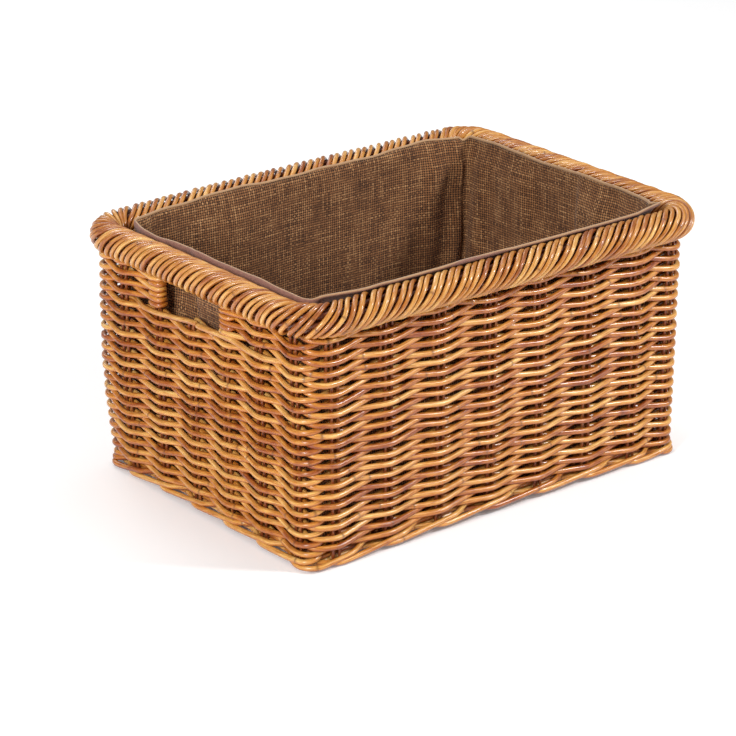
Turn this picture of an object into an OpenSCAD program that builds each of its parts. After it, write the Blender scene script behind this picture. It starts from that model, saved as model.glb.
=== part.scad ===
// Wicker log basket with two hand holes, a rolled border and a lift-out hessian liner.
// Frame: origin at the middle of the footprint, on the floor. +X runs along the long side,
// +Y across the basket, +Z up. "Front" is the -Y long side, "left" is the -X short end.
// The basket looks the same after half a turn about Z.

/* [Wall] */
// Length over the woven walls
wall_l = 494; // [460:1:540]
// Width over the woven walls
wall_w = 359; // [330:1:400]
// Outside corner radius of the woven walls
wall_corner_r = 22; // [18:1:30]
// Diameter of the weaving canes
cane_d = 5.8; // [5:0.1:6.4]
// Diameter of the upright stakes
stake_d = 3.4; // [2.8:0.1:4]
// Distance between the two stakes of a pair
pair_gap = 7.6; // [6:0.1:9]
// Distance from a pair's middle to the extra stake beside it
bye_gap = 10.2; // [9.8:0.1:14]
// Distance between stake pairs along the long sides
long_pitch = 64.8; // [60:0.1:68]
// Distance between stake pairs along the short ends
end_pitch = 56.2; // [52:0.1:58]

/* [Foot and base] */
// Height of the wale that the basket stands on
foot_h = 16; // [14:1:22]
// Rise of the foot between its corners
foot_arch = 4; // [2:0.5:4]
// Height of the woven base's underside above the floor
base_z = 4; // [4:0.5:8]
// Thickness of the woven base
base_t = 16; // [12:1:18]
// Diameter of the base sticks
stick_d = 8; // [6:0.5:9]
// Number of base sticks
sticks = 6; // [4:1:8]

/* [Border] */
// Height of the middle of the border above the floor
border_z = 260; // [240:1:280]
// Outside diameter of the rolled border
border_d = 35; // [32:1:38]
// Distance of the border's middle line outside the wall's outer face
border_offset = 1.2; // [0:0.1:3]
// Corner radius of the border's middle line
border_corner_r = 36; // [30:1:44]

/* [Hand holes] */
// Height of the sill above the floor
sill_z = 206.5; // [195:0.5:212]
// Half width of the woven post beside a hand hole
post_half = 11; // [9:0.1:12]
// Shift of one post away from the hand hole, which widens it
post_shift = 8; // [0:0.5:10]

/* [Liner] */
// Gap between the liner and the inside of the border
liner_gap = 0.4; // [0.3:0.1:3]
// Thickness of the hessian
cloth_t = 1.6; // [1:0.1:2.5]
// Thickness of the binding outside the hessian
binding_t = 1.2; // [0.8:0.1:2]
// Height of the binding band
binding_h = 18; // [12:1:24]
// Height of the liner's top edge above the middle of the border
liner_rise = 19; // [10:0.5:22]
// Outward lean of the liner's top, in degrees, over the shoulder of the border
liner_lean = 20; // [10:1:24]
// Height of the leaning part
lean_h = 22; // [20:1:26]
// Thickness of the sewing thread
thread_t = 0.5; // [0.4:0.1:0.8]

/* [Hidden] */
$fn = 96;
eps = 0.01;
wall_t = 2 * cane_d + stake_d;
half_l = wall_l / 2;
half_w = wall_w / 2;
cane_r = cane_d / 2;
stake_r = stake_d / 2;

// Line that the stakes stand on, halfway through the wall
stake_inset = wall_t / 2;
line_l = half_l - stake_inset;
line_w = half_w - stake_inset;
line_r = wall_corner_r - stake_inset;
arc_len = line_r * PI / 2;
front_len = 2 * (line_l - line_r);
end_len = 2 * (line_w - line_r);

// Places of the stake pairs along that line, from the start of the front
front_first = 17;
front_pairs = 7;
corner_pair = front_len + 2;
end_first = front_len + arc_len + 25.5;
end_pairs = 6;
front_s = [for (i = [0 : front_pairs - 1]) front_first + i * long_pitch];
far_post = 3;
end_s = [for (i = [0 : end_pairs - 1]) end_first + i * end_pitch + (i == far_post ? post_shift : 0)];

// The hand hole lies between the second and fourth pairs of each end, over the third
cut_pair = 2;
whole_end_s = [for (i = [0 : end_pairs - 1]) if (i != cut_pair) end_s[i]];
cut_y = end_s[cut_pair] - front_len - arc_len - end_len / 2;
hole_low = cut_y - end_pitch + post_half;
hole_high = cut_y + end_pitch + post_shift - post_half;

// Stakes run from inside the foot to inside the border, and the walls stop just inside it
stake_foot = 6;
stake_top = border_z - 12;
bye_foot = 188;
wall_top = border_z - 9;
cut_top = sill_z - cane_r - 1;

// Border
border_r = border_d / 2;
core_r = border_r - cane_d;
border_l = half_l + border_offset;
border_w = half_w + border_offset;
corner_l = border_l - border_corner_r;
corner_w = border_w - border_corner_r;

// Base
base_l = half_l - foot_h;
base_w = half_w - foot_h;
base_corner_r = wall_corner_r - foot_h;
stick_edge = 12;
stick_pitch = 2 * (base_w - stick_edge) / (sticks - 1);
stick_z = base_z + base_t / 2;
arch_half_l = 190;
arch_half_w = 130;

// Liner. The distances named _out are outwards from the border's corner centres. The leaning
// part passes the border at liner_gap, so binding_out at its top follows from that.
liner_top = border_z + liner_rise;
liner_floor_z = base_z + base_t + 0.4;
clear_r = border_r + liner_gap;
binding_out = border_corner_r - clear_r / cos(liner_lean) + liner_rise * tan(liner_lean);
edge_out = binding_out - binding_t;
liner_out = edge_out - lean_h * tan(liner_lean);
floor_out = liner_out - cloth_t;
lean_z = liner_top - lean_h;
stitch_z = liner_top - 9;

// Colours
honey = [0.80, 0.50, 0.22];
amber = [0.70, 0.38, 0.15];
pale_cane = [0.86, 0.62, 0.34];
hessian = [0.45, 0.34, 0.24];
mauve = [0.55, 0.42, 0.38];

// ---------- shared outlines ----------

// Rectangle with round corners, from half length, half width and corner radius
module round_rect(l, w, r) {
    square([2 * l, 2 * (w - r)], center = true);
    square([2 * (l - r), 2 * w], center = true);
    for (x = [-1, 1], y = [-1, 1])
        translate([x * (l - r), y * (w - r)]) circle(r);
}

// Ring of thickness t inside such a rectangle
module round_ring(l, w, r, t) {
    difference() {
        round_rect(l, w, r);
        round_rect(l - t, w - t, max(r - t, eps));
    }
}

// Sector that holds one side of the basket, cut at 45 degrees through the corners
module long_side() {
    polygon([[-half_l - 60, -half_w - 60], [half_l + 60, -half_w - 60], [half_l - half_w, 0],
             [half_w - half_l, 0]]);
}

module short_side() {
    polygon([[-half_l - 60, -half_w - 60], [half_w - half_l, 0], [-half_l - 60, half_w + 60]]);
}

// ---------- stakes ----------

// Puts its children on the stake line at distance s from the start of the front,
// for s within the front, the front right corner or the right end
module on_stake_line(s) {
    arc_turn = (s - front_len) / line_r * 180 / PI;
    if (s < front_len)
        translate([s - front_len / 2, -line_w, 0]) children();
    else if (s < front_len + arc_len)
        translate([line_l - line_r, line_r - line_w, 0])
            rotate([0, 0, arc_turn]) translate([0, -line_r, 0]) children();
    else
        translate([line_l, s - front_len - arc_len - end_len / 2, 0]) rotate([0, 0, 90]) children();
}

// Pairs of stakes at the places in list
module stake_pairs(list, top = stake_top) {
    for (s = list)
        on_stake_line(s)
            for (side = [-1, 1])
                translate([side * pair_gap / 2, 0, stake_foot])
                    cylinder(r = stake_r, h = top - stake_foot);
}

// Extra stakes pushed in beside the pairs of a long side, which thicken the border's footing
module side_bye_stakes() {
    for (s = front_s)
        on_stake_line(s)
            translate([-bye_gap, 0, bye_foot]) cylinder(r = stake_r, h = stake_top - bye_foot);
}

// The same on the other half of the basket
module half_turn() {
    rotate([0, 0, 180]) children();
}

// Every stake, for cutting the sockets that hold them
module front_sockets() {
    stake_pairs(concat(front_s, [corner_pair]));
    side_bye_stakes();
}

module end_sockets() {
    stake_pairs(whole_end_s);
    stake_pairs([end_s[cut_pair]], top = cut_top);
}

module front_stakes() {
    color(amber) stake_pairs(front_s);
}

module back_stakes() {
    color(amber) half_turn() stake_pairs(front_s);
}

module front_bye_stakes() {
    color(amber) side_bye_stakes();
}

module back_bye_stakes() {
    color(amber) half_turn() side_bye_stakes();
}

module right_stakes() {
    color(amber) stake_pairs(whole_end_s);
}

module left_stakes() {
    color(amber) half_turn() stake_pairs(whole_end_s);
}

module corner_stakes() {
    color(amber) {
        stake_pairs([corner_pair]);
        half_turn() stake_pairs([corner_pair]);
    }
}

// The pair under each hand hole is cut off below the sill
module right_cut_stakes() {
    color(amber) stake_pairs([end_s[cut_pair]], top = cut_top);
}

module left_cut_stakes() {
    color(amber) half_turn() right_cut_stakes();
}

// ---------- foot and base ----------

// Low wedge-ended gap under the foot between its corners, along one pair of sides
module arch_cut(half_span, depth) {
    rotate([90, 0, 0])
        linear_extrude(depth, center = true)
            polygon([[-half_span, -1], [half_span, -1], [half_span, 0], [half_span / 2, foot_arch],
                     [-half_span / 2, foot_arch], [-half_span, 0]]);
}

module foot_wale() {
    color(amber) difference() {
        linear_extrude(foot_h) round_ring(half_l, half_w, wall_corner_r, foot_h);
        arch_cut(arch_half_l, 2 * wall_w);
        rotate([0, 0, 90]) arch_cut(arch_half_w, 2 * wall_l);
        front_sockets();
        end_sockets();
        half_turn() {
            front_sockets();
            end_sockets();
        }
    }
}

// Sticks that run the length of the base
module base_sticks() {
    color(amber)
        for (i = [0 : sticks - 1])
            translate([0, (i - (sticks - 1) / 2) * stick_pitch, stick_z])
                rotate([0, 90, 0]) cylinder(d = stick_d, h = 2 * base_l - 2, center = true);
}

module base_weave() {
    color(honey) difference() {
        translate([0, 0, base_z]) linear_extrude(base_t) round_rect(base_l, base_w, base_corner_r);
        base_sticks();
    }
}

// ---------- woven walls ----------

// One side of the wall between two heights, cut off under the border
module wall_part(low, top) {
    difference() {
        translate([0, 0, low])
            linear_extrude(top - low)
                intersection() {
                    round_ring(half_l, half_w, wall_corner_r, wall_t);
                    children();
                }
        border_tube(border_r);
    }
}

module front_siding() {
    color(honey) difference() {
        wall_part(foot_h, wall_top) long_side();
        front_sockets();
    }
}

module back_siding() {
    color(honey) half_turn() front_siding();
}

module left_siding() {
    color(honey) difference() {
        wall_part(foot_h, sill_z) short_side();
        half_turn() end_sockets();
        left_sill_canes();
    }
}

module right_siding() {
    color(honey) half_turn() left_siding();
}

// Wall beside a hand hole, where the weavers turn back round the last stakes
module left_pillar(y_from, y_to) {
    color(honey) difference() {
        wall_part(sill_z, wall_top)
            intersection() {
                short_side();
                translate([-wall_l, y_from]) square([wall_l, y_to - y_from]);
            }
        half_turn() end_sockets();
    }
}

module left_back_pillar() {
    left_pillar(-hole_low, half_w);
}

module left_front_pillar() {
    left_pillar(-half_w, -hole_high);
}

module right_front_pillar() {
    half_turn() left_back_pillar();
}

module right_back_pillar() {
    half_turn() left_front_pillar();
}

// Two canes that meet over the cut stakes and finish the bottom of the hand hole
module left_sill_canes() {
    end_gap = 0.5;
    join_gap = 1;
    hole_len = hole_high - hole_low - 2 * end_gap;
    color(pale_cane)
        for (side = [0, 1])
            translate([cane_r - half_l, side * (hole_len + join_gap) / 2 - hole_high + end_gap, sill_z])
                rotate([-90, 0, 0]) cylinder(r = cane_r, h = (hole_len - join_gap) / 2);
}

module right_sill_canes() {
    half_turn() left_sill_canes();
}

// ---------- border ----------

// Round tube of radius r that runs once round the border's middle line
module border_tube(r) {
    translate([0, 0, border_z])
        for (turn = [0, 180])
            rotate([0, 0, turn]) {
                translate([0, -border_w, 0]) rotate([0, 90, 0])
                    cylinder(r = r, h = 2 * corner_l, center = true);
                translate([border_l, 0, 0]) rotate([90, 0, 0])
                    cylinder(r = r, h = 2 * corner_w, center = true);
                translate([corner_l, -corner_w, 0]) border_corner(-90, 90, r);
                translate([corner_l, corner_w, 0]) border_corner(0, 90, r);
            }
}

module border_corner(from, angle, r) {
    rotate([0, 0, from])
        rotate_extrude(angle = angle)
            translate([border_corner_r, 0]) circle(r);
}

// Hoop of rods that the border canes are wrapped round
module border_core() {
    color(amber) border_tube(core_r);
}

module border_sockets() {
    for (turn = [0, 180])
        rotate([0, 0, turn]) {
            stake_pairs(concat(front_s, [corner_pair], whole_end_s));
            side_bye_stakes();
        }
}

// Layer of wrapped canes along the side that the children outline
module border_side() {
    difference() {
        intersection() {
            border_tube(border_r);
            translate([0, 0, border_z - border_r - 1]) linear_extrude(border_d + 2) children();
        }
        border_tube(core_r);
        border_sockets();
    }
}

module border_front() {
    color(pale_cane) border_side() long_side();
}

module border_back() {
    half_turn() border_front();
}

module border_left() {
    color(pale_cane) border_side() short_side();
}

module border_right() {
    half_turn() border_left();
}

// ---------- liner ----------

// Section of points [distance outwards from the corner centres, height], run once round
module swept(section) {
    for (turn = [0, 180])
        rotate([0, 0, turn]) {
            translate([-corner_l, -corner_w, 0]) rotate([90, 0, 90])
                linear_extrude(2 * corner_l) polygon([for (p = section) [-p[0], p[1]]]);
            translate([corner_l, corner_w, 0]) rotate([90, 0, 0])
                linear_extrude(2 * corner_w) polygon(section);
            translate([corner_l, -corner_w, 0]) rotate([0, 0, -90])
                rotate_extrude(angle = 90) polygon(section);
            translate([corner_l, corner_w, 0]) rotate_extrude(angle = 90) polygon(section);
        }
}

// One side of the liner: an upright wall whose top leans out over the border
module liner_wall() {
    intersection() {
        swept([[floor_out, liner_floor_z], [liner_out, liner_floor_z], [liner_out, lean_z],
               [edge_out, liner_top], [edge_out - cloth_t, liner_top], [floor_out, lean_z]]);
        linear_extrude(liner_top + 1) children();
    }
}

module liner_front() {
    color(hessian) liner_wall() long_side();
}

module liner_back() {
    half_turn() liner_front();
}

module liner_left() {
    color(hessian) liner_wall() short_side();
}

module liner_right() {
    half_turn() liner_left();
}

module liner_floor() {
    color(hessian) translate([0, 0, liner_floor_z])
        linear_extrude(cloth_t) round_rect(corner_l + floor_out, corner_w + floor_out, floor_out);
}

// Band of thickness t that lies on the leaning part, outwards from distance out at the top edge
module lean_band(out, t, low, high) {
    low_out = out - (liner_top - low) * tan(liner_lean);
    high_out = out - (liner_top - high) * tan(liner_lean);
    swept([[low_out, low], [low_out + t, low], [high_out + t, high], [high_out, high]]);
}

// Band sewn round the outside of the top edge
module liner_binding() {
    color(mauve) lean_band(edge_out, binding_t, liner_top - binding_h, liner_top);
}

module binding_stitching() {
    color(pale_cane)
        lean_band(edge_out - cloth_t - thread_t, thread_t, stitch_z, stitch_z + thread_t);
}

base_sticks();
base_weave();
foot_wale();
front_stakes();
back_stakes();
left_stakes();
right_stakes();
corner_stakes();
left_cut_stakes();
right_cut_stakes();
front_bye_stakes();
back_bye_stakes();
front_siding();
back_siding();
left_siding();
right_siding();
left_back_pillar();
left_front_pillar();
right_back_pillar();
right_front_pillar();
left_sill_canes();
right_sill_canes();
border_core();
border_front();
border_back();
border_left();
border_right();
liner_front();
liner_back();
liner_left();
liner_right();
liner_floor();
liner_binding();
binding_stitching();
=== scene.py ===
import math

import bpy
import numpy as np
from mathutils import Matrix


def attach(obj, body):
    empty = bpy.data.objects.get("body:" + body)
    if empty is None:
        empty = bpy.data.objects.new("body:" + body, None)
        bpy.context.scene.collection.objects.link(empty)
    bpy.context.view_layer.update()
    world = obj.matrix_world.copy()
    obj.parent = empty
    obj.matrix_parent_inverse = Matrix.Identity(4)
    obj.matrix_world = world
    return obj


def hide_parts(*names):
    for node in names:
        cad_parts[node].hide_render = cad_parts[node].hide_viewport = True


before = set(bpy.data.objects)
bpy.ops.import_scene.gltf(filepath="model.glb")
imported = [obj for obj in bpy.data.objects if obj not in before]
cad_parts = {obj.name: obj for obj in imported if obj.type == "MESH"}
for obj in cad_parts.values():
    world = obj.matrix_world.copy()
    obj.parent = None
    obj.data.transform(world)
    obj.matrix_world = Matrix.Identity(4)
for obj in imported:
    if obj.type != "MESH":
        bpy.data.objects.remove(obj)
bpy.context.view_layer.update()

rng = np.random.default_rng(41)

# Sizes are in millimetres until a mesh is made. They repeat the CAD's.
MM = 0.001
STAKE_R = 1.7
# Half the distance between the two stakes of a group
PAIR_HALF = 3.8
CANE_R = 2.9
STAKE_FOOT, STAKE_TOP, CUT_TOP = 6, 248, 202.6
# The third stake of each long group, and its distance from the group's middle
BYE_FOOT, BYE_GAP = 188, 10.2
BORDER_Z, BORDER_R, BORDER_CORNER_R = 260, 17.5, 36
LINER_CORNER_R = 14.7
FLOOR_Z = 20.4
LINER_TOP = 277.6
UP = (0.0, 0.0, 1.0)
SIDES = ("front", "back", "left", "right")


def smooth(x):
    x = np.clip(x, 0, 1)
    return x * x * (3 - 2 * x)


class Loop:
    """A rounded rectangle, walked counterclockwise from the left end of its front side."""

    def __init__(self, half_l, half_w, r):
        self.l, self.w, self.r = half_l - r, half_w - r, r
        self.arc = r * math.pi / 2
        self.front, self.end = 2 * self.l, 2 * self.w
        self.half = self.front + self.end + 2 * self.arc
        self.length = 2 * self.half

    def at(self, s):
        """Points (x, y) and outward directions (x, y) at distances s."""
        s = np.mod(s, self.length)
        q = np.mod(s, self.half)
        sign = np.where(s >= self.half, -1, 1)[:, None]
        turn = np.clip((q - self.front) / self.r, 0, math.pi / 2) + np.clip(
            (q - self.front - self.arc - self.end) / self.r, 0, math.pi / 2
        )
        out = np.stack([np.sin(turn), -np.cos(turn)], 1)
        x = np.clip(q, 0, self.front) - self.l
        y = np.clip(q - self.front - self.arc, 0, self.end) - self.w
        return (np.stack([x, y], 1) + self.r * out) * sign, out * sign


# The stakes' line, the middle of the border and the outer face of the cloth
wall = Loop(239.5, 172, 14.5)
rim = Loop(248.2, 180.7, BORDER_CORNER_R)
lining = Loop(226.9, 159.4, LINER_CORNER_R)


def lift(xy, z):
    """Points in the plane with heights z."""
    return np.column_stack([xy, np.broadcast_to(z, len(xy))])


# ---------- meshes ----------


def make_object(name, points, quads, triangles=(), smooth_shade=True, **attributes):
    """A mesh object from points in millimetres. attributes gives (kind, array) on its points."""
    quads = np.asarray(quads, int).reshape(-1, 4)
    triangles = np.asarray(triangles, int).reshape(-1, 3)
    points = np.asarray(points, float)
    # Six times the enclosed volume, which is negative where the faces look inwards
    fan = np.concatenate([quads[:, [0, 1, 2]], quads[:, [0, 2, 3]], triangles])
    a, b, c = points[fan[:, 0]], points[fan[:, 1]], points[fan[:, 2]]
    if (a * np.cross(b, c)).sum() < 0:
        quads, triangles = quads[:, ::-1], triangles[:, ::-1]
    corners = np.concatenate([quads.ravel(), triangles.ravel()])
    starts = np.concatenate(
        [np.arange(len(quads)) * 4, len(quads) * 4 + np.arange(len(triangles)) * 3]
    )
    mesh = bpy.data.meshes.new(name)
    mesh.vertices.add(len(points))
    mesh.vertices.foreach_set("co", (points * MM).astype(np.float32).ravel())
    mesh.loops.add(len(corners))
    mesh.loops.foreach_set("vertex_index", corners.astype(np.int32))
    mesh.polygons.add(len(starts))
    mesh.polygons.foreach_set("loop_start", starts.astype(np.int32))
    mesh.polygons.foreach_set("use_smooth", np.full(len(starts), smooth_shade))
    mesh.update(calc_edges=True)
    for key, (kind, values) in attributes.items():
        field = "color" if kind == "FLOAT_COLOR" else "vector"
        layer = mesh.attributes.new(key, kind, "POINT")
        layer.data.foreach_set(field, np.asarray(values, np.float32).ravel())
    obj = bpy.data.objects.new(name, mesh)
    bpy.context.scene.collection.objects.link(obj)
    return obj


def finish_piece(obj, material, slot, body, *nodes):
    obj.data.materials.append(material)
    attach(obj, body)
    if nodes:
        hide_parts(*nodes)
    return obj


def grid_quads(rows, columns, first=0, closed=False):
    """Quads over a grid of points stored row by row. closed joins the last column to the first."""
    a = np.arange(rows * columns).reshape(rows, columns) + first
    b = np.roll(a, -1, axis=1) if closed else a[:, 1:]
    a = a if closed else a[:, :-1]
    return np.stack([a[:-1], b[:-1], b[1:], a[1:]], -1).reshape(-1, 4)


class Canes:
    """Collects round canes into one mesh. Each point keeps its cane's tone and grain place."""

    SCAR_RINGS = np.array([-3.2, -1.9, -1.1, -0.5, 0, 0.5, 1.1, 1.9, 3.2])

    def __init__(self, name, sides=10, step=4.0):
        self.name, self.sides, self.step = name, sides, step
        self.points, self.tone, self.grain, self.quads, self.caps = [], [], [], [], []
        self.count = 0

    def add(self, path, out, radius, hue=None, scars=True):
        path, out = np.asarray(path, float), np.asarray(out, float)
        run = np.concatenate(
            [[0], np.cumsum(np.linalg.norm(np.diff(path, axis=0), axis=1))]
        )
        total = run[-1]
        marks = np.linspace(0, total, max(3, int(total / self.step) + 2))
        knots = []
        if scars:
            place = rng.uniform(15, 200)
            while place < total - 8:
                knots.append(place)
                place += rng.uniform(110, 250)
            marks = np.concatenate([marks] + [k + self.SCAR_RINGS for k in knots])
            marks = np.unique(np.round(np.clip(marks, 0, total), 2))
        centre = np.stack([np.interp(marks, run, path[:, i]) for i in range(3)], 1)
        side = np.stack([np.interp(marks, run, out[:, i]) for i in range(3)], 1)
        along = np.gradient(centre, marks, axis=0)
        along /= np.linalg.norm(along, axis=1)[:, None]
        side -= (side * along).sum(1)[:, None] * along
        side /= np.linalg.norm(side, axis=1)[:, None]
        across = np.cross(along, side)
        r = np.interp(marks, run, np.broadcast_to(radius, len(path)))
        scar = np.zeros(len(marks))
        for k in knots:
            r = r * (1 + 0.09 * np.exp(-(((marks - k) / 1.6) ** 2)))
            scar = np.maximum(scar, np.exp(-(((marks - k) / 1.3) ** 2)))
        # Two more rings round each end over
        for _ in range(2):
            centre = np.concatenate([centre[:1], centre, centre[-1:]])
            side = np.concatenate([side[:1], side, side[-1:]])
            across = np.concatenate([across[:1], across, across[-1:]])
            r = np.concatenate([r[:1], r, r[-1:]])
            scar = np.concatenate([scar[:1], scar, scar[-1:]])
            marks = np.concatenate([marks[:1], marks, marks[-1:]])
        for ring, (reach, shrink) in enumerate(((0.30, 0.62), (0.16, 0.9))):
            for end, direction in ((ring, -along[0]), (-1 - ring, along[-1])):
                centre[end] = centre[end] + direction * r[end] * reach
                r[end] *= shrink
        turn = np.arange(self.sides) * 2 * math.pi / self.sides
        ring_out = (
            np.cos(turn)[None, :, None] * side[:, None]
            + np.sin(turn)[None, :, None] * across[:, None]
        )
        points = (centre[:, None] + r[:, None, None] * ring_out).reshape(-1, 3)
        n = len(centre)
        start = rng.uniform(0, 4000)
        tone = np.empty((n, self.sides, 4))
        tone[..., 0] = rng.uniform() if hue is None else hue
        tone[..., 1] = rng.uniform()
        tone[..., 2] = scar[:, None]
        tone[..., 3] = 1
        grain = np.empty((n, self.sides, 3))
        grain[..., 0] = marks[:, None] + start
        grain[..., 1] = np.cos(turn) * r[:, None]
        grain[..., 2] = np.sin(turn) * r[:, None]
        first = self.count
        self.quads.append(grid_quads(n, self.sides, first, closed=True))
        tips = np.stack(
            [centre[0] - along[0] * r[0] * 0.06, centre[-1] + along[-1] * r[-1] * 0.06]
        )
        around = np.arange(self.sides)
        after = np.roll(around, -1)
        low, high = first + n * self.sides, first + n * self.sides + 1
        last = first + (n - 1) * self.sides
        self.caps.append(np.stack([np.full(self.sides, low), first + after, first + around], 1))
        self.caps.append(np.stack([np.full(self.sides, high), last + around, last + after], 1))
        self.points.append(np.concatenate([points, tips]))
        self.tone.append(np.concatenate([tone.reshape(-1, 4), tone[0, :1], tone[-1, :1]]))
        ends = [grain[end, :1] * [1, 0, 0] for end in (0, -1)]
        self.grain.append(np.concatenate([grain.reshape(-1, 3), *ends]))
        self.count += n * self.sides + 2

    def build(self, material, slot, body, *nodes):
        obj = make_object(
            self.name,
            np.concatenate(self.points),
            np.concatenate(self.quads),
            np.concatenate(self.caps),
            tone=("FLOAT_COLOR", np.concatenate(self.tone)),
            grain=("FLOAT_VECTOR", np.concatenate(self.grain)),
        )
        return finish_piece(obj, material, slot, body, *nodes)


# ---------- materials ----------


class Graph:
    """Builds one node material around its Principled shader."""

    def __init__(self, name, **constants):
        self.material = bpy.data.materials.new(name)
        self.material.use_nodes = True
        self.tree = self.material.node_tree
        self.shader = self.tree.nodes["Principled BSDF"]
        for key, value in constants.items():
            self.shader.inputs[key.replace("_", " ")].default_value = value

    def set(self, socket, value):
        if isinstance(value, bpy.types.NodeSocket):
            self.tree.links.new(value, socket)
        else:
            socket.default_value = value

    def add(self, kind, output=0, settings=(), **inputs):
        node = self.tree.nodes.new("ShaderNode" + kind)
        for key, value in dict(settings).items():
            setattr(node, key, value)
        for key, value in inputs.items():
            self.set(node.inputs[key.replace("_", " ")], value)
        return node.outputs[output]

    def maths(self, operation, *values, clamp=False):
        node = self.tree.nodes.new("ShaderNodeMath")
        node.operation, node.use_clamp = operation, clamp
        for socket, value in zip(node.inputs, values):
            self.set(socket, value)
        return node.outputs[0]

    def attribute(self, name, output):
        node = self.tree.nodes.new("ShaderNodeAttribute")
        node.attribute_name = name
        return node.outputs[output]

    def scaled(self, vector, scale):
        node = self.tree.nodes.new("ShaderNodeVectorMath")
        node.operation = "MULTIPLY"
        self.set(node.inputs[0], vector)
        node.inputs[1].default_value = scale
        return node.outputs[0]

    def noise(self, vector, scale, detail=3.0, roughness=0.5):
        return self.add(
            "TexNoise", Vector=vector, Scale=scale, Detail=detail, Roughness=roughness
        )

    def ramp(self, factor, *stops):
        node = self.tree.nodes.new("ShaderNodeValToRGB")
        ramp = node.color_ramp
        while len(ramp.elements) < len(stops):
            ramp.elements.new(0.5)
        for element, (place, colour) in zip(ramp.elements, stops):
            element.position = place
            element.color = (*colour, 1)
        self.set(node.inputs[0], factor)
        return node.outputs[0]

    def mix(self, factor, a, b, blend="MIX"):
        node = self.tree.nodes.new("ShaderNodeMix")
        node.data_type, node.blend_type = "RGBA", blend
        self.set(node.inputs["Factor"], factor)
        self.set(node.inputs[6], a if isinstance(a, bpy.types.NodeSocket) else (*a, 1))
        self.set(node.inputs[7], b if isinstance(b, bpy.types.NodeSocket) else (*b, 1))
        return node.outputs[2]

    def finish(self, colour, roughness=None, bump=None, strength=0.3, distance=0.0004):
        self.set(self.shader.inputs["Base Color"], colour)
        if roughness is not None:
            self.set(self.shader.inputs["Roughness"], roughness)
        if bump is not None:
            self.set(
                self.shader.inputs["Normal"],
                self.add("Bump", Strength=strength, Distance=distance, Height=bump),
            )
        return self.material


# Linear colour of the reddish stretches of a cane
RUDDY = (0.36, 0.085, 0.018)


def cane_material(name, stops, scar_colour, coat):
    """Varnished cane: its own colour drifting along it, streaks, scars and painted shade on its
    sides and underside.
    """
    g = Graph(name, Coat_Weight=coat, Coat_Roughness=0.14, Coat_IOR=1.5)
    parts = g.add("SeparateColor", Color=g.attribute("tone", "Color")).node
    grain = g.attribute("grain", "Vector")
    slow = g.noise(g.scaled(grain, (0.013, 0.05, 0.05)), 1.0, 3.0)
    patch = g.noise(g.scaled(grain, (0.07, 0.3, 0.3)), 1.0, 5.0, 0.72)
    streak = g.noise(g.scaled(grain, (0.05, 1.3, 1.3)), 1.0, 4.0, 0.65)
    own = g.maths("MULTIPLY_ADD", parts.outputs[0], 0.42, -0.52)
    drifting = g.maths("MULTIPLY_ADD", slow, 0.75, g.maths("MULTIPLY_ADD", patch, 1.15, own))
    colour = g.ramp(g.maths("ADD", drifting, -0.1, clamp=True), *stops)
    flush = g.noise(g.scaled(grain, (0.025, 0.12, 0.12)), 1.7, 2.0)
    colour = g.mix(g.maths("MULTIPLY_ADD", flush, 2.6, -1.6, clamp=True), colour, RUDDY)
    # Painted shade darkens each cane's sides and underside, away from its outermost line
    outwards = g.add("SeparateXYZ", Vector=grain).node.outputs[1]
    side_shade = g.maths("MINIMUM", g.maths("MULTIPLY_ADD", outwards, 0.2, 0.78), 1.0)
    dark = g.maths("MULTIPLY", g.maths("MULTIPLY_ADD", streak, 2.1, -0.14), side_shade)
    shade = g.add(
        "CombineColor",
        Red=g.maths("POWER", dark, 0.65),
        Green=g.maths("POWER", dark, 1.25),
        Blue=g.maths("POWER", dark, 1.9),
    )
    colour = g.mix(1.0, colour, shade, "MULTIPLY")
    scarred = g.maths("MULTIPLY_ADD", streak, 1.3, 0.0)
    scar = g.maths("MULTIPLY", parts.outputs[2], scarred, clamp=True)
    colour = g.mix(scar, colour, scar_colour)
    rough = g.maths("MULTIPLY_ADD", streak, 0.35, 0.2)
    ridges = g.maths("MULTIPLY_ADD", parts.outputs[2], -0.6, streak)
    return g.finish(colour, rough, ridges, 0.5)


def srgb(*values):
    """Linear colour from screen values of 0 to 255."""
    return tuple(
        v / 255 / 12.92 if v <= 10 else ((v / 255 + 0.055) / 1.055) ** 2.4 for v in values
    )


weaver_cane = cane_material(
    "weaver_cane",
    (
        (0.0, srgb(112, 46, 14)),
        (0.25, srgb(166, 86, 26)),
        (0.5, srgb(214, 142, 54)),
        (1.0, srgb(250, 206, 122)),
    ),
    srgb(104, 54, 22),
    0.55,
)
border_cane = cane_material(
    "border_cane",
    (
        (0.0, srgb(112, 52, 18)),
        (0.3, srgb(164, 92, 34)),
        (0.55, srgb(204, 138, 58)),
        (1.0, srgb(242, 196, 118)),
    ),
    srgb(108, 60, 28),
    0.55,
)
# Its colours are darker than the weaver canes' as painted shade for the stakes seen through the
# gaps of the weave; the base rods and the border's core use it too
stake_cane = cane_material(
    "stake_cane",
    (
        (0.0, srgb(70, 26, 8)),
        (0.5, srgb(142, 70, 28)),
        (1.0, srgb(196, 130, 66)),
    ),
    srgb(56, 24, 10),
    0.25,
)


# ---------- wall ----------

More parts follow.
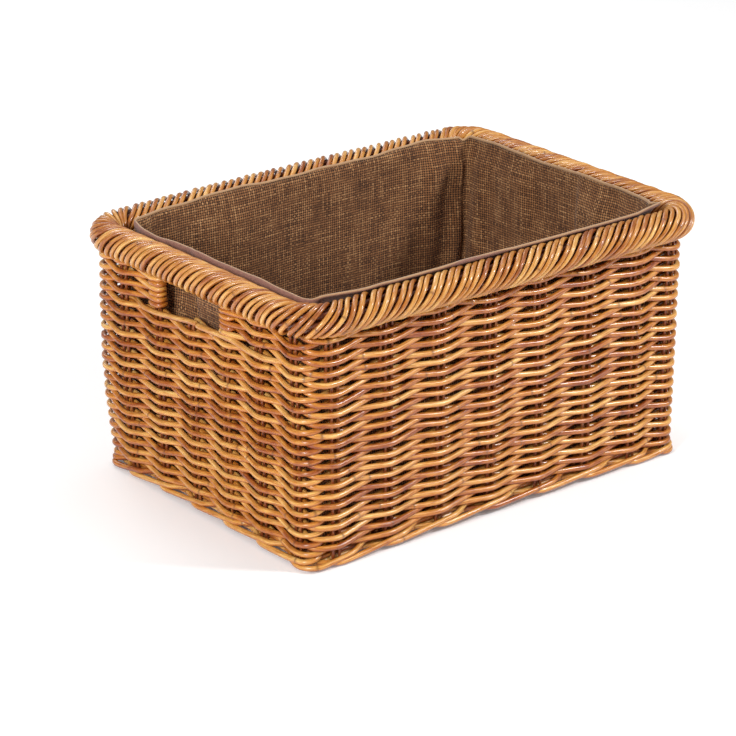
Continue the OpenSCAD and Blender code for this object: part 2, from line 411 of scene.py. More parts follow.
# Groups of stakes: seven on a long side, one at its right corner and six on the next end
LONG_FIRST, LONG_PITCH, LONG_COUNT = 17, 64.8, 7
END_FIRST, END_PITCH, END_COUNT = 25.5, 56.2, 6
long_groups = [LONG_FIRST + LONG_PITCH * i for i in range(LONG_COUNT)]
end_groups = [wall.front + wall.arc + END_FIRST + END_PITCH * i for i in range(END_COUNT)]
half_groups = long_groups + [wall.front + 2] + end_groups
GROUPS = np.array(half_groups + [s + wall.half for s in half_groups])
COUNT = len(GROUPS)
BACK_LEFT = 21
HALF_COUNT = COUNT // 2
LONG = [i % HALF_COUNT < LONG_COUNT for i in range(COUNT)]
ROW_PITCH, ROW_0_Z = 5.45, 22
FIRST_ROW, SILL_ROW, LAST_ROW = -1, 34, 40
SILL_Z = ROW_0_Z + ROW_PITCH * SILL_ROW
# The posts of each hand hole, with the cut stakes between them
HOLES = [(9, 10, 11), (23, 24, 25)]
POSTS = [9, 11, 23, 25]
LEANING_POSTS, POST_SHIFT = (11, 25), 8.0

wander = rng.uniform(-1, 1, (COUNT, 3))


def lean(i, z):
    """How far group i's stakes stray along the wall at height z."""
    i = np.asarray(i) % COUNT
    stray = 1.3 * wander[i, 0] * np.sin(z / 70 + 3 * wander[i, 1]) + 0.8 * wander[i, 2]
    post = np.isin(i, LEANING_POSTS) * POST_SHIFT * smooth((z - 165) / 45)
    return stray + post


def drift(s, z):
    """Slow rise and fall of the rows, which neighbouring rows share."""
    a = 2 * math.pi / wall.length * s
    return (
        0.7 * np.sin(3 * a + z / 60 + 0.6)
        + 0.5 * np.sin(7 * a - z / 45 + 2.1)
        + 0.35 * np.sin(13 * a + z / 30 + 4.0)
    )


def arch(s):
    """Rise of the bottom between the corners, from 0 to 1."""
    xy, out = wall.at(s)
    on_long = np.abs(out[:, 1]) > 0.9
    return np.where(
        on_long,
        np.clip(1 - (xy[:, 0] / 205) ** 2, 0, 1),
        np.clip(1 - (xy[:, 1] / 145) ** 2, 0, 1) * 0.8,
    )


def weaver_phase(s, z):
    """Place along the wall counted in stake groups: whole at each group's middle."""
    i = np.arange(-3, COUNT + 3)
    at = GROUPS[i % COUNT] + wall.length * (i // COUNT) + lean(i, z)
    bye = np.array([LONG[j % COUNT] for j in i]) * 7.4 * smooth((z - 183) / 8)
    low, high = at - 4.2 - bye, at + 4.2
    places = np.stack([low, high], 1).ravel()
    counts = np.stack([i - 0.05, i + 0.05], 1).ravel()
    return np.interp(np.mod(s, wall.length), places, counts)


def row_z(k, s):
    """Height of row k. The lowest rows rise with the bottom's arch."""
    z = ROW_0_Z + ROW_PITCH * k
    return z + 4.6 * arch(s) * np.clip(1 - z / 150, 0, 1) + drift(s, z)


def flare(z):
    """How far the wall leans out at height z."""
    return 3.4 * np.asarray(z) / 250 - 2.4


def bow(s, z):
    """How far the wall bows out round its back left corner."""
    gap = np.mod(s - GROUPS[BACK_LEFT] + wall.half, wall.length) - wall.half
    out = np.interp(z, (0, 40, 80, 120, 180, 250), (0, 4.2, 7.6, 8.8, 8.0, 5.2))
    return np.exp(-((gap / 75) ** 2)) * out


def on_wall(s, depth, z):
    """Points at distances s round the wall, depth out from the stakes, and a side direction."""
    xy, out = wall.at(s)
    return lift(xy + (depth + flare(z) + bow(s, z))[:, None] * out, z), np.tile(UP, (len(s), 1))


def kinked(phase):
    """A wave between 1 and -1 with straight arms."""
    return np.arcsin(0.975 * np.cos(math.pi * phase)) / math.asin(0.975)


def near_post(s):
    """1 beside the posts of the hand holes, 0 away from them."""
    gap = [abs(np.mod(s - GROUPS[i] + wall.half, wall.length) - wall.half) for i in POSTS]
    return smooth((52 - np.min(gap, axis=0)) / 35)


# How far a cane's middle stands in front of the stakes, or behind them
REACH = 4.65


def row(k, s0, s1):
    """Centre line of row k from s0 to s1, as distances, depths and heights."""
    s = np.linspace(s0, s1, max(4, int(abs(s1 - s0) / 1.5)))
    wave = kinked(weaver_phase(s, ROW_0_Z + ROW_PITCH * k) - k)
    dip = 2.6 * smooth((k + 3) / 4) * (1 - near_post(s) * (k > SILL_ROW))
    a = rng.uniform(0, 2 * math.pi, 3)
    z = row_z(k, s) - dip * wave + 0.4 * (np.sin(s / 23 + a[0]) + np.sin(s / 41 + a[1]))
    return s, REACH * wave * (1 + 0.04 * np.sin(s / 60 + a[2])), z


def cane_size():
    return CANE_R * rng.uniform(0.9, 1.08)


def group_place(i, z):
    """Distance round the wall of group i, which may count on past a full turn."""
    return GROUPS[i % COUNT] + wall.length * (i // COUNT) + lean(i, z)


def side_of(s):
    """Name of the side that the distance s lies on."""
    q = np.mod(s + 8, wall.length)
    turned = q >= wall.half
    on_long = np.mod(q, wall.half) < wall.front + 16
    if on_long:
        return "back" if turned else "front"
    return "left" if turned else "right"


weave = {side: Canes(side + "_weave") for side in SIDES}


def without_sills(k, a, b):
    """The lengths of row k from group a to group b that are left by the sill canes."""
    if k < SILL_ROW - 1:
        return [(a, b)]
    kept = []
    for low, high in ((8, 10), (22, 24), (36, 38)):
        if a < high and low < b:
            if a < low:
                kept.append((a, low))
            a = max(high, a)
    return kept + [(a, b)] * (a < b)


for k in range(FIRST_ROW, SILL_ROW):
    z = ROW_0_Z + ROW_PITCH * k
    here = int(rng.integers(0, 14)) * 2 + (k + 1) % 2
    left_over = COUNT
    while left_over > 0:
        span = int(rng.integers(3, 7)) * 2
        if left_over - span < 6:
            span = left_over
        for a, b in without_sills(k, here, here + span):
            a, b = group_place(a, z), group_place(b, z)
            weave[side_of((a + b) / 2)].add(*on_wall(*row(k, a + 1.6, b + 0.2)), cane_size())
        here += span
        left_over -= span


def post_turn(k, post, side):
    """Row k going round a post beside a hand hole. side is 1 where the hole lies ahead."""
    z = ROW_0_Z + ROW_PITCH * k
    round_stake = REACH - 0.05
    t = np.linspace(0, math.pi, 14)
    in_front = 1 if (post + k) % 2 == 0 else -1
    along = np.concatenate([[1.5], PAIR_HALF + round_stake * np.sin(t), [1, -2, -PAIR_HALF]])
    depth = np.concatenate([[in_front], in_front * np.cos(t), np.full(3, -in_front)]) * REACH
    if in_front < 0:
        # Comes back in front of the post and ends round its far stake
        t = np.linspace(0.15, 2.3, 9)
        along = np.concatenate([along, -PAIR_HALF - round_stake * np.sin(t)])
        depth = np.concatenate([depth, REACH * np.cos(t)])
    s = group_place(post, z) + side * along
    return s, depth, np.full(len(s), row_z(k, s[:1])[0]) + 0.25 * side * np.sin(along)


# The rows above the sills run from post to post
for k in range(SILL_ROW + 1, LAST_ROW + 1):
    z = ROW_0_Z + ROW_PITCH * k
    for first, last, side in ((11, 23, "back"), (25, 37, "front")):
        start = [part[::-1] for part in post_turn(k, first, -1)]
        middle = row(k, group_place(first, z), group_place(last, z))
        end = post_turn(k, last, 1)
        s, depth, height = (np.concatenate(parts) for parts in zip(start, middle, end))
        weave[side].add(*on_wall(s, depth, height), cane_size())

# Row 34 ends round the first post that it meets at each end
for low, post, side in (
    (HOLES[0][2] + 2, HOLES[1][0], "back"),
    (HOLES[1][2] + 2, HOLES[0][0] + COUNT, "front"),
):
    middle = row(SILL_ROW, group_place(low, SILL_Z) + 3, group_place(post, SILL_Z))
    parts = zip(middle, post_turn(SILL_ROW, post, 1))
    weave[side].add(*on_wall(*(np.concatenate(part) for part in parts)), cane_size())

# Two canes meet over the cut stakes of each hand hole, the first one rising to meet the second
SILL_R = 1.04
for first, middle, last in HOLES:
    name = "left" if middle > HALF_COUNT else "right"
    sills = Canes(name + "_sill")
    centre = group_place(middle, SILL_Z)
    low, high = group_place(first - 1, SILL_Z), group_place(last + 2, SILL_Z)
    s = np.linspace(low, centre + 15.0, 90)
    z = 207.6 - 0.132 * np.clip(centre + 12 - s, 0, 66)
    z = np.convolve(np.pad(z, 6, mode="edge"), np.full(13, 1 / 13), "valid")
    depth = REACH * (2 * smooth((s - low - 8) / 34) - 1)
    z = z + drift(s, SILL_Z) - drift(s[-1:], SILL_Z)
    sills.add(*on_wall(s, depth, z), cane_size() * SILL_R, hue=0.8)
    s = np.linspace(centre + 17.8, high, 90)
    depth = REACH * (2 * smooth((high - 8 - s) / 34) - 1)
    past = s - centre
    z = 206.0 + 2.2 * smooth((past - 17) / 50) - 3.2 * smooth((past - 74) / 34)
    z = z + 2 * smooth((past - 120) / 40)
    sills.add(*on_wall(s, depth, z), cane_size() * SILL_R, hue=1.0)
    sills.build(border_cane, "border_cane", "basket", name + "_sill_canes")

WALL_NODES = {
    "front": ("front_siding",),
    "back": ("back_siding",),
    "left": ("left_siding", "left_back_pillar", "left_front_pillar"),
    "right": ("right_siding", "right_back_pillar", "right_front_pillar"),
}
for side, canes in weave.items():
    canes.build(weaver_cane, "weaver_cane", "basket", *WALL_NODES[side])


# ---------- stakes ----------


def add_stake(canes, group, offset, low, high):
    z = np.linspace(low, high, int((high - low) / 4) + 2)
    s = GROUPS[group] + lean(np.full(len(z), group), z) + offset
    xy, out = wall.at(s)
    path = lift(xy + (flare(z) + bow(s, z))[:, None] * out, z)
    canes.add(path, lift(out, 0), STAKE_R * rng.uniform(0.94, 1.04))


STAKE_NODES = {
    "front_stakes": range(0, 7),
    "back_stakes": range(14, 21),
    "right_stakes": (8, 9, 11, 12, 13),
    "left_stakes": (22, 23, 25, 26, 27),
    "corner_stakes": (7, 21),
    "right_cut_stakes": (10,),
    "left_cut_stakes": (24,),
}
for name, groups in STAKE_NODES.items():
    rods = Canes(name + "_rods", sides=8, step=6)
    top = CUT_TOP if "cut" in name else STAKE_TOP
    for group in groups:
        for side in (-1, 1):
            add_stake(rods, group, side * PAIR_HALF, STAKE_FOOT, top)
    rods.build(stake_cane, "stake_cane", "basket", name)
for name, groups in (("front_bye_stakes", range(0, 7)), ("back_bye_stakes", range(14, 21))):
    rods = Canes(name + "_rods", sides=8, step=6)
    for group in groups:
        add_stake(rods, group, -BYE_GAP, BYE_FOOT, STAKE_TOP)
    rods.build(stake_cane, "stake_cane", "basket", name)


# ---------- foot ----------

foot = Canes("foot_wale_canes", sides=10, step=3.5)
# Groups that each cane passes, and how far the bottom rises between the corners
FOOT_SPAN, FOOT_ARCH = 2.1, 4.4
steps = np.arange(-3, COUNT + 7)
step_places = GROUPS[steps % COUNT] + wall.length * (steps // COUNT)
for start in range(COUNT):
    # In from behind, down in front of two groups, and up behind the next
    p = np.linspace(0, 1, 90)
    s = np.interp(start - 0.45 + FOOT_SPAN * p, steps, step_places)
    front = smooth(p / 0.26) * smooth((1 - p) / 0.2)
    depth = -4.2 + front * (9.0 + 2.0 * (1 - p))
    z = 3.05 + 3.0 * (1 - smooth(p / 0.3)) + 9.6 * p**2 + FOOT_ARCH * arch(s)
    foot.add(*on_wall(s, depth, z), cane_size())
# Two canes lie behind the stakes, inside the twist
s = np.linspace(0, wall.length, 700)
for height in (5.6, 11.0):
    foot.add(*on_wall(s, np.full(len(s), -4.7), height + FOOT_ARCH * arch(s)), 2.6)
foot.build(weaver_cane, "weaver_cane", "basket", "foot_wale")


# ---------- border ----------

STRANDS = 182
WRAP_R = 14.85
# Distance along the rim, and how far a strand travels along it in a quarter turn
ADVANCE = np.array(
    [
        (0, 18), (50, 22), (208, 25), (330, 28), (400, 27), (450, 21),
        (490, 20), (540, 24), (680, 26), (760, 20), (830, 20), (1200, 22),
        (1260, 18), (1300, 21), (1540, 21), (1595, 17), (1630, 15),
    ],
    float,
)


def advance(t, angle):
    """Travel along the rim for each radian that a strand turns round it."""
    places = np.concatenate([ADVANCE[:, 0], [rim.length]])
    values = np.concatenate([ADVANCE[:, 1], [ADVANCE[0, 1]]])
    slant = 1 + 0.2 * smooth((angle - 1.3) / 0.9) - 0.45 * smooth((-0.3 - angle) / 0.8)
    return np.interp(np.mod(t, rim.length), places, values) * 2 / math.pi * slant


def sag(xy):
    """How far the top of the basket has sunk round its back left corner."""
    return 3.2 * np.exp(-((xy[..., 0] + 248) ** 2 + (xy[..., 1] - 181) ** 2) / 150**2)


def wrap_lines():
    """Angles round the rim's middle line, and each strand's distances along it there."""
    angles = np.radians(np.arange(-100, 241, 2.5))
    middle = int(np.argmin(abs(angles - math.radians(30))))
    t = np.zeros((len(angles), STRANDS))
    # Strands lie closer together along the rim's middle line at the corners, where they fan out
    rim_s = np.linspace(0, rim.length, 2000)
    q = np.mod(rim_s, rim.half)
    corner = np.minimum(abs(q - rim.front - rim.arc / 2), abs(q - rim.half + rim.arc / 2))
    crowd = np.cumsum(1 + 0.28 * smooth((rim.arc / 2 + 12 - corner) / 24))
    places = np.arange(STRANDS) + 0.17 * rng.uniform(-1, 1, STRANDS)
    t[middle] = np.interp(places * (crowd[-1] - crowd[0]) / STRANDS + crowd[0], crowd, rim_s)
    for steps in (range(middle, len(angles) - 1), range(middle, 0, -1)):
        for i in steps:
            j = i + (1 if steps.step == 1 else -1)
            turn = angles[j] - angles[i]
            half = t[i] + advance(t[i], angles[i]) * turn / 2
            t[j] = t[i] + advance(half, (angles[i] + angles[j]) / 2) * turn
    return angles, t


angles, lines = wrap_lines()
borders = {side: Canes("border_wrap_" + side, sides=10, step=3.2) for side in SIDES}
for n in range(STRANDS):
    t = lines[:, n]
    radius = WRAP_R - 0.1 + 0.3 * np.sin(angles * 2 + n * 1.7)
    xy, out = rim.at(t)
    radial = lift(out * np.cos(angles)[:, None], np.sin(angles))
    path = lift(xy, BORDER_Z - sag(xy)) + radial * radius[:, None]
    size = 2.45 * rng.uniform(0.88, 1.08)
    taper = 1 - 0.35 * smooth((angles - 3.5) / 0.7)
    at = t[int(len(t) * 0.4)]
    q = np.mod(at, rim.half)
    turned = np.mod(at, rim.length) >= rim.half
    on_long = q < rim.front + rim.arc / 2 or q > rim.half - rim.arc / 2
    turned = turned != (q > rim.half - rim.arc / 2)
    if on_long:
        side = "back" if turned else "front"
    else:
        side = "left" if turned else "right"
    borders[side].add(path, radial, size * taper)
for side, canes in borders.items():
    canes.build(border_cane, "border_cane", "basket", "border_" + side)

hoop = Canes("border_hoop", sides=8, step=7)
for i in range(7):
    r, a = (0, 0) if i == 6 else (7.9, i * math.pi / 3)
    t = np.linspace(0, rim.length * 0.998, 900)
    twist = a + t / rim.length * 2 * math.pi * 2
    xy, out = rim.at(t)
    radial = lift(out * np.cos(twist)[:, None], np.sin(twist))
    hoop.add(lift(xy, BORDER_Z - sag(xy)) + radial * r, radial, 3.9, hue=0.0)
hoop.build(stake_cane, "stake_cane", "basket", "border_core")


# ---------- base ----------

BASE_L, BASE_W, BASE_Z = 229, 161.5, 12
STICK_PITCH, STICK_COUNT, STICK_R = 60.6, 6, 3.95
BASE_CANE_R, BASE_CANE_PITCH = 2.05, 4.2
sticks = Canes("base_rods", sides=12, step=8)
stick_ys = (np.arange(STICK_COUNT) - (STICK_COUNT - 1) / 2) * STICK_PITCH
for y in stick_ys:
    x = np.linspace(-BASE_L, BASE_L, 80)
    path = np.column_stack([x, np.full(80, y), np.full(80, BASE_Z)])
    sticks.add(path, np.tile(UP, (80, 1)), STICK_R)
sticks.build(stake_cane, "stake_cane", "basket", "base_sticks")

base = Canes("base_canes", sides=8, step=5)
for n, x in enumerate(np.arange(-227, 227.1, BASE_CANE_PITCH)):
    y = np.linspace(-BASE_W, BASE_W, 180)
    z = BASE_Z + 5.9 * kinked((y - stick_ys[0]) / STICK_PITCH - n)
    path = np.column_stack([np.full(180, x), y, z])
    base.add(path, np.tile([1.0, 0, 0], (180, 1)), BASE_CANE_R)
base.build(weaver_cane, "weaver_cane", "basket", "base_weave")


# ---------- liner ----------

liner_wave = rng.uniform(0, 2 * math.pi, 12)


def from_corner(s):
    """Distance from the middle of the nearest corner."""
    q = np.mod(s, lining.half)
    return np.minimum(
        abs(q - lining.front - lining.arc / 2), np.minimum(q, lining.half - q) + lining.arc / 2
    )


def cloth_out(s, xy, out, z):
    """How far the cloth stands out from its upright line. It leans over the border at its top."""
    on_long = smooth(out[..., 1] ** 2 * 1.6 - 0.3)
    shoulder = BORDER_R + 2.4
    height = np.clip(z - BORDER_Z + 1.0, 0, shoulder - 1)
    over = BORDER_CORNER_R - np.sqrt(shoulder**2 - height**2) - lining.r
    lean_out = on_long * over + (1 - on_long) * (0.6 + 2.6 * smooth((z - 245) / 33))
    lean_out = lean_out * smooth((z - 150) / 100)
    a = 2 * math.pi / lining.length * s
    near = np.exp(-((from_corner(s) / 62) ** 2))
    slack = smooth((z - 40) / 130) * (1 - 0.9 * smooth((z - 236) / 30))
    soft = 2.6 + 1.9 * np.sin(5 * a + liner_wave[0] + z / 150)
    soft = soft + 1.6 * np.sin(11 * a + liner_wave[1] - z / 90)
    pleat = near * (3.0 + 3.4 * np.sin(s / 6.1 + liner_wave[2] + z / 55))
    fold = np.maximum(slack * (soft + pleat) + 0.4, 0.2)
    # The corners draw in towards the top, which rounds them
    fold = fold + 10 * np.exp(-((from_corner(s) / 30) ** 2)) * smooth((z - 205) / 50)
    # Behind each hand hole the cloth is pushed out on one side of a fold
    for turned in (1, -1):
        y = xy[..., 1] * turned
        behind = smooth((-xy[..., 0] * turned - 190) / 20) * np.exp(-(((z - 226) / 34) ** 2))
        pushed = smooth((31 - y) / 7) * smooth((y + 62) / 30)
        sunk = smooth((y - 27) / 8) * smooth((96 - y) / 40)
        fold = fold * (1 - behind * pushed) - behind * (2.4 * pushed - 7.5 * sunk)
    return lean_out - fold


def edge_z(s):
    """Height of the cloth's top edge."""
    a = 2 * math.pi / lining.length * s
    xy, out = lining.at(s)
    # It sits lower along the back and the ends than along the front
    far = 6.0 * smooth(out[..., 1] * 1.4 - 0.2) + 4.2 * smooth(abs(out[..., 0]) * 1.4 - 0.2)
    loose = 0.9 * np.sin(5 * a + liner_wave[3]) + 0.7 * np.sin(12 * a + liner_wave[4])
    loose = loose + 0.3 * np.sin(31 * a)
    return LINER_TOP + 0.6 - far - sag(xy) + loose


def thin_solid(name, outer, inner, cloth, material, slot, nodes):
    """A closed thin solid between two grids of points."""
    rows, columns = outer.shape[:2]
    size = rows * columns
    a, b = grid_quads(rows, columns), grid_quads(rows, columns, size)
    edge = np.concatenate(
        [
            np.arange(columns),
            np.arange(1, rows) * columns + columns - 1,
            size - 2 - np.arange(columns - 1),
            (np.arange(rows - 2, 0, -1)) * columns,
        ]
    )
    after = np.roll(edge, -1)
    walls = np.stack([edge, edge + size, after + size, after], 1)
    flat = np.concatenate([cloth.reshape(-1, 3)] * 2)
    obj = make_object(
        name,
        np.concatenate([outer.reshape(-1, 3), inner.reshape(-1, 3)]),
        np.concatenate([a, b[:, ::-1], walls]),
        cloth=("FLOAT_VECTOR", flat),
    )
    # The cut edges stay sharp, so that neighbouring panels shade as one
    shading = np.ones(len(obj.data.polygons), bool)
    shading[-len(walls):] = False
    obj.data.polygons.foreach_set("use_smooth", shading)
    return finish_piece(obj, material, slot, "liner", *nodes)


def hessian_material():
    """Coarse plain weave of jute: threads one over and one under, some paler."""
    g = Graph("hessian", Sheen_Weight=0.08, Sheen_Roughness=0.5, Roughness=0.95)
    flat = g.add("SeparateXYZ", Vector=g.attribute("cloth", "Vector")).node
    pitch = 2.7
    heights, tints = [], []
    for axis in (0, 1):
        along, across = flat.outputs[1 - axis], flat.outputs[axis]
        count = g.maths("DIVIDE", across, pitch)
        index = g.maths("FLOOR", count)
        ridge = g.maths("SINE", g.maths("MULTIPLY", g.maths("FRACT", count), math.pi))
        turns = g.maths("MULTIPLY", index, math.pi)
        turns = g.maths("MULTIPLY_ADD", g.maths("DIVIDE", along, pitch), math.pi, turns)
        over = g.maths("SINE", turns)
        over = over if axis == 0 else g.maths("MULTIPLY", over, -1.0)
        heights.append(g.maths("ADD", ridge, g.maths("MULTIPLY", over, 0.55)))
        # Each thread has its own tint, which changes slowly along it
        spread = g.add(
            "CombineXYZ",
            X=g.maths("MULTIPLY", index, 7.31),
            Y=g.maths("MULTIPLY", along, 0.03),
            Z=float(axis * 40),
        )
        tints.append(g.noise(spread, 1.0, 2.0))
    top = g.maths("MAXIMUM", *heights)
    choose = g.maths("GREATER_THAN", heights[0], heights[1])
    tint = g.add("Mix", 0, {"data_type": "FLOAT"}, Factor=choose)
    mixer = tint.node
    g.set(mixer.inputs[2], tints[1])
    g.set(mixer.inputs[3], tints[0])
    stops = (0.3, srgb(102, 62, 32)), (0.5, srgb(156, 104, 62)), (0.7, srgb(204, 152, 102))
    colour = g.ramp(tint, *stops)
    # Painted shade darkens the low parts of the weave between the threads
    hollow = g.maths("MULTIPLY_ADD", top, 1.4, -0.78, clamp=True)
    shade = g.add("CombineColor", Red=hollow, Green=hollow, Blue=hollow)
    colour = g.mix(1.0, colour, shade, "MULTIPLY")
    return g.finish(colour, None, top, 0.8, 0.0006)


def tape_material(name, base, pale, turned, pitch):
    """Ribbed tape or thread. Where the third coordinate is 1 it has the colour turned."""
    g = Graph(name, Sheen_Weight=0.3, Roughness=0.9)
    flat = g.attribute("cloth", "Vector")
    fibre = g.noise(g.scaled(flat, (0.25, 2.5, 2.5)), 1.0, 3.0)
    parts = g.add("SeparateXYZ", Vector=flat).node
    rib = g.maths("SINE", g.maths("MULTIPLY", parts.outputs[0], 2 * math.pi / pitch))
    tint = g.maths("MULTIPLY_ADD", rib, 0.12, fibre)
    colour = g.ramp(tint, (0.3, base), (0.7, pale))
    wear = g.maths("MULTIPLY", parts.outputs[2], g.maths("ADD", fibre, 0.4), clamp=True)
    colour = g.mix(wear, colour, turned)
    return g.finish(colour, None, tint, 0.5, 0.0003)


hessian = hessian_material()
binding_cloth = tape_material(
    "binding", srgb(112, 72, 62), srgb(168, 122, 106), srgb(186, 146, 104), 1.2
)
thread = tape_material("thread", srgb(124, 92, 64), srgb(158, 122, 88), srgb(158, 122, 88), 0.6)

# Thickness of the cloth, the bend at its floor, and how far the binding reaches down outside
CLOTH = 1.0
BEND = 9.0
TAPE = 17.5
# From here up the rows of points lie closer together
FINE_Z = 244

# The four walls of the liner as one grid: rows up the cloth, columns round it
COLUMNS = 440
column_s = np.arange(COLUMNS) * lining.length / COLUMNS
bend = np.linspace(0, math.pi / 2, 6)[:-1]
low_z = FLOOR_Z + 0.6 + BEND * (1 - np.cos(bend))
in_bend = BEND * (1 - np.sin(bend))
high_z = np.concatenate(
    [
        np.linspace(FLOOR_Z + 0.6 + BEND, FINE_Z, 50)[:-1],
        np.linspace(FINE_Z, LINER_TOP, 20),
    ]
)
inwards = np.concatenate([in_bend, np.zeros(len(high_z))])
S, Z = np.meshgrid(column_s, np.concatenate([low_z, high_z]))
edge = edge_z(column_s)
Z = Z + smooth((Z - 120) / (LINER_TOP - 120)) * (edge - LINER_TOP)[None, :]
grid_xy, grid_out = (part.reshape(*S.shape, 2) for part in lining.at(S.ravel()))
stand = cloth_out(S, grid_xy, grid_out, Z) * smooth((Z - 26) / 40) - inwards[:, None]
cloth_face = np.concatenate([grid_xy + grid_out * stand[..., None], Z[..., None]], -1)
up_cloth = np.gradient(cloth_face, axis=0)
round_cloth = np.roll(cloth_face, -1, axis=1) - np.roll(cloth_face, 1, axis=1)
inner_way = np.cross(up_cloth, round_cloth)
inner_way /= np.linalg.norm(inner_way, axis=2)[..., None]
if (inner_way[30, :, :2] * grid_out[30]).sum() > 0:
    inner_way = -inner_way
rise = np.concatenate(
    [np.zeros((1, COLUMNS)), np.cumsum(np.linalg.norm(np.diff(cloth_face, axis=0), axis=2), axis=0)]
)


def panel(name, s0, s1, node):
    """One wall of the liner, as a closed thin sheet between two corners."""
    first = round(s0 / lining.length * COLUMNS)
    last = round(s1 / lining.length * COLUMNS)
    columns = np.arange(first, last + 1) % COLUMNS
    outer = cloth_face[:, columns]
    inner = outer + inner_way[:, columns] * CLOTH
    places = np.arange(first, last + 1) * lining.length / COLUMNS
    cloth = np.stack(np.broadcast_arrays(places[None, :], rise[:, columns], 0.0), -1)
    obj = thin_solid(name, outer, inner, cloth, hessian, "hessian", (node,))


def make_floor():
    l, w = lining.l + lining.r - BEND, lining.w + lining.r - BEND
    x, y = np.meshgrid(np.linspace(-l, l, 100), np.linspace(-w, w, 70))
    wave = 0.5 * np.sin(x / 47 + 1) * np.sin(y / 39 + 2) + 0.5
    bottom = np.stack([x, y, FLOOR_Z + 0.1 + wave * 0.8], -1)
    top = bottom + [0, 0, CLOTH]
    cloth = np.stack([x, y, np.zeros_like(x)], -1)
    obj = thin_solid("liner_bottom", top, bottom, cloth, hessian, "hessian", ("liner_floor",))


make_floor()
half_arc = lining.arc / 2
corners = [
    -half_arc,
    lining.front + half_arc,
    lining.half - half_arc,
    lining.half + lining.front + half_arc,
    lining.length - half_arc,
]
for name, a, b, node in (
    ("liner_panel_front", corners[0], corners[1], "liner_front"),
    ("liner_panel_right", corners[1], corners[2], "liner_right"),
    ("liner_panel_back", corners[2], corners[3], "liner_back"),
    ("liner_panel_left", corners[3], corners[4], "liner_left"),
):
    panel(name, a, b, node)


def below_edge(distance):
    """Points and inward directions on the cloth, that distance below its top edge."""
    points, ways = np.empty((COLUMNS, 3)), np.empty((COLUMNS, 3))
    for c in range(COLUMNS):
        at = rise[-1, c] - distance
        for i in range(3):
            points[c, i] = np.interp(at, rise[:, c], cloth_face[:, c, i])
            ways[c, i] = np.interp(at, rise[:, c], inner_way[:, c, i])
    return points, ways


# Binding sewn over the top edge, a closed section carried round it: (distance below the edge,
# distance inwards from the cloth's outer face, distance up past the edge)
SECTION = (
    (TAPE, -1.0, 0), (12, -1.3, 0), (7, -1.3, 0), (3, -1.4, 0), (1, -1.3, 0),
    (0, -0.8, 0.5), (0, 0.2, 0.9), (0, 1.2, 0.7), (0.6, 1.7, 0), (1.8, 1.6, 0),
    (1.8, 1.1, 0), (0.3, 1.1, 0), (0, 0.5, 0.15), (0.2, -0.1, 0),
    (3, -0.15, 0), (7, -0.15, 0), (12, -0.15, 0), (TAPE, -0.15, 0),
)
tip = up_cloth[-1] / np.linalg.norm(up_cloth[-1], axis=1)[:, None]
rings = []
for distance, inward, past in SECTION:
    points, ways = below_edge(distance)
    rings.append(points + ways * inward + tip * past)
rings = np.stack(rings, 1)
m = len(SECTION)
index = np.arange(COLUMNS * m).reshape(COLUMNS, m)
nxt = np.roll(index, -1, axis=0)
quads = np.stack(
    [index, nxt, np.roll(nxt, -1, axis=1), np.roll(index, -1, axis=1)], -1
).reshape(-1, 4)
across = np.array([part[0] * -1.0 + part[1] for part in SECTION])
turned = np.array([float(part[1] > -0.5) for part in SECTION])
flat = np.stack(np.broadcast_arrays(column_s[:, None], across[None, :], turned[None, :]), -1)
band = make_object(
    "binding_tape", rings.reshape(-1, 3), quads, cloth=("FLOAT_VECTOR", flat.reshape(-1, 3))
)
finish_piece(band, binding_cloth, "binding", "liner", "liner_binding")


class Threads(Canes):
    """Sewing thread, which takes its pattern from the cloth attribute."""

    def build(self, *args):
        obj = make_object(
            self.name,
            np.concatenate(self.points),
            np.concatenate(self.quads),
            np.concatenate(self.caps),
            cloth=("FLOAT_VECTOR", np.concatenate(self.grain)),
        )
        return finish_piece(obj, *args)


SEAM_BELOW, STITCH_PITCH, STITCH, THREAD_R = 3.4, 5.6, 3.4, 0.3
stitches = Threads("binding_stitches", sides=6, step=1.0)
seam, seam_way = below_edge(SEAM_BELOW)
seam = seam + seam_way * (CLOTH + THREAD_R)
for s0 in np.arange(0, lining.length - 8, STITCH_PITCH):
    s = np.linspace(s0, s0 + STITCH, 6)
    path = np.stack([np.interp(s, column_s, seam[:, i]) for i in range(3)], 1)
    way = np.stack([np.interp(s, column_s, seam_way[:, i]) for i in range(3)], 1)
    stitches.add(path, way, THREAD_R, scars=False)
stitches.build(thread, "thread", "liner", "binding_stitching")


# ---------- stage, light and camera ----------

ground = bpy.data.meshes.new("ground")
ground.from_pydata([(-6, -6, 0), (6, -6, 0), (6, 6, 0), (-6, 6, 0)], [], [(0, 1, 2, 3)])
floor = bpy.data.objects.new("ground", ground)
bpy.context.scene.collection.objects.link(floor)
paper = Graph("paper", Roughness=0.9, Specular_IOR_Level=0.2, Emission_Strength=0.25)
mottle = paper.noise(paper.add("TexCoord", 3), 3.0)
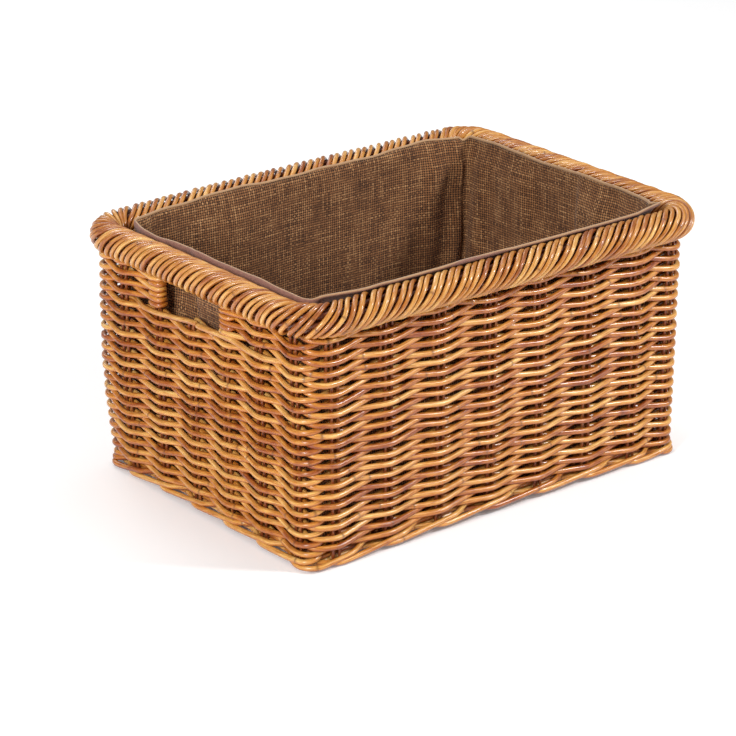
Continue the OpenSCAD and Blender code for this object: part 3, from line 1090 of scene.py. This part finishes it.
# The paper glows a little as painted light, but not below the basket, which leaves a painted shadow
# there
spot = paper.add("SeparateXYZ", Vector=paper.add("NewGeometry")).node
past_wall = [
    paper.maths("MULTIPLY_ADD", paper.maths("ABSOLUTE", spot.outputs[axis]), 40, low, clamp=True)
    for axis, low in ((0, -8.9), (1, -6.2))
]
glow = paper.maths("MAXIMUM", *past_wall)
paper.set(
    paper.shader.inputs["Emission Color"],
    paper.add("CombineColor", Red=glow, Green=glow, Blue=glow),
)
ground.materials.append(
    paper.finish(paper.ramp(mottle, (0.3, (0.9, 0.9, 0.905)), (0.7, (0.92, 0.92, 0.92))))
)


def area_light(name, place, target, size, power, colour=(1, 1, 1)):
    data = bpy.data.lights.new(name, "AREA")
    data.energy, data.size, data.color = power, size, colour
    lamp = bpy.data.objects.new(name, data)
    lamp.location = place
    aim = np.array(target) - np.array(place)
    yaw = math.atan2(aim[1], aim[0])
    pitch = math.atan2(aim[2], math.hypot(aim[0], aim[1]))
    lamp.rotation_euler = (math.pi / 2 + pitch, 0, yaw - math.pi / 2)
    bpy.context.scene.collection.objects.link(lamp)


area_light("key", (1.5, -1.7, 1.8), (0, 0, 0.15), 0.45, 45)
area_light("fill", (-2.4, -0.9, 1.3), (0, 0, 0.15), 0.8, 52)
area_light("top", (0.2, 0.6, 2.6), (0, 0, 0.1), 1.5, 16)
area_light("far_floor", (0.6, 3.4, 2.2), (0.8, 2.6, 0), 2.0, 45)

world = bpy.data.worlds.new("world")
bpy.context.scene.world = world
world.use_nodes = True
world.node_tree.nodes["Background"].inputs[0].default_value = (1, 1, 1, 1)
world.node_tree.nodes["Background"].inputs[1].default_value = 0.22

camera = bpy.data.cameras.new("camera")
camera.lens, camera.sensor_width = 142.447, 36
camera.clip_start, camera.clip_end = 0.1, 30
eye = bpy.data.objects.new("camera", camera)
eye.location = (-1.75951, -2.20357, 1.22416)
eye.rotation_euler = [math.radians(a) for a in (68.2834, 0.2335, -38.1528)]
bpy.context.scene.collection.objects.link(eye)
bpy.context.scene.camera = eye
bpy.context.scene.view_settings.view_transform = "Standard"
